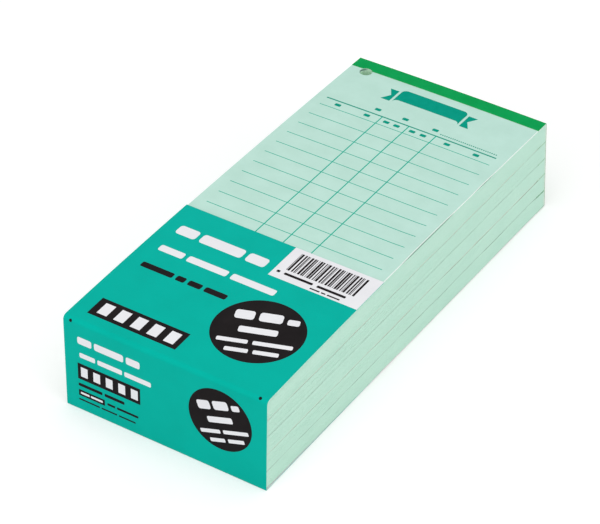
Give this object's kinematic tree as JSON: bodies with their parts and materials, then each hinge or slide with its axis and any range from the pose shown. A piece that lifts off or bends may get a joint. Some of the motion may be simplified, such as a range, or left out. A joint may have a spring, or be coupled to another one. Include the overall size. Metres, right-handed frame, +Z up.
{
  "type": "pack of guest check pads",
  "caption": "Stack of guest check pads, each of mint green leaves on a backing board with a taped spine and a hanging hole, held by a printed end wrap that slides off.",
  "frame": {"origin": "middle of the pack's footprint, on the surface that it lies on", "axes": "+X across the pads towards the side without the hanging hole, +Y along the pads from the wrapped end to the taped spine, +Z up"},
  "size_m": [0.0754, 0.1776, 0.037],
  "materials": {
    "leaf_paper": "matte",
    "printed_leaf_paper": "matte",
    "grey_board": "matte",
    "padding_glue": "satin",
    "binding_tape": "satin",
    "wrap_film": "satin"
  },
  "bodies": {
    "pad_1": {"pad_1_backing_board": "grey_board", "pad_1_leaf_block": "leaf_paper", "pad_1_front_leaf": "printed_leaf_paper", "pad_1_spine_glue": "padding_glue", "pad_1_binding_tape": "binding_tape"},
    "pad_2": {"pad_2_backing_board": "grey_board", "pad_2_leaf_block": "leaf_paper", "pad_2_front_leaf": "printed_leaf_paper", "pad_2_spine_glue": "padding_glue", "pad_2_binding_tape": "binding_tape"},
    "pad_3": {"pad_3_backing_board": "grey_board", "pad_3_leaf_block": "leaf_paper", "pad_3_front_leaf": "printed_leaf_paper", "pad_3_spine_glue": "padding_glue", "pad_3_binding_tape": "binding_tape"},
    "pad_4": {"pad_4_backing_board": "grey_board", "pad_4_leaf_block": "leaf_paper", "pad_4_front_leaf": "printed_leaf_paper", "pad_4_spine_glue": "padding_glue", "pad_4_binding_tape": "binding_tape"},
    "pad_5": {"pad_5_backing_board": "grey_board", "pad_5_leaf_block": "leaf_paper", "pad_5_front_leaf": "printed_leaf_paper", "pad_5_spine_glue": "padding_glue", "pad_5_binding_tape": "binding_tape"},
    "wrap": {"end_wrap": "wrap_film"}
  },
  "joints": [
    {"name": "wrap_slide", "type": "slide", "parent": "pad_1", "child": "wrap", "axis": [0, -1, 0], "range_m": [0, 0.075]},
    {"name": "pad_2_slide", "type": "slide", "parent": "pad_1", "child": "pad_2", "axis": [0, 1, 0], "range_m": [0, 0.075]},
    {"name": "pad_3_slide", "type": "slide", "parent": "pad_1", "child": "pad_3", "axis": [0, 1, 0], "range_m": [0, 0.075]},
    {"name": "pad_4_slide", "type": "slide", "parent": "pad_1", "child": "pad_4", "axis": [0, 1, 0], "range_m": [0, 0.075]},
    {"name": "pad_5_slide", "type": "slide", "parent": "pad_1", "child": "pad_5", "axis": [0, 1, 0], "range_m": [0, 0.075]}
  ]
}
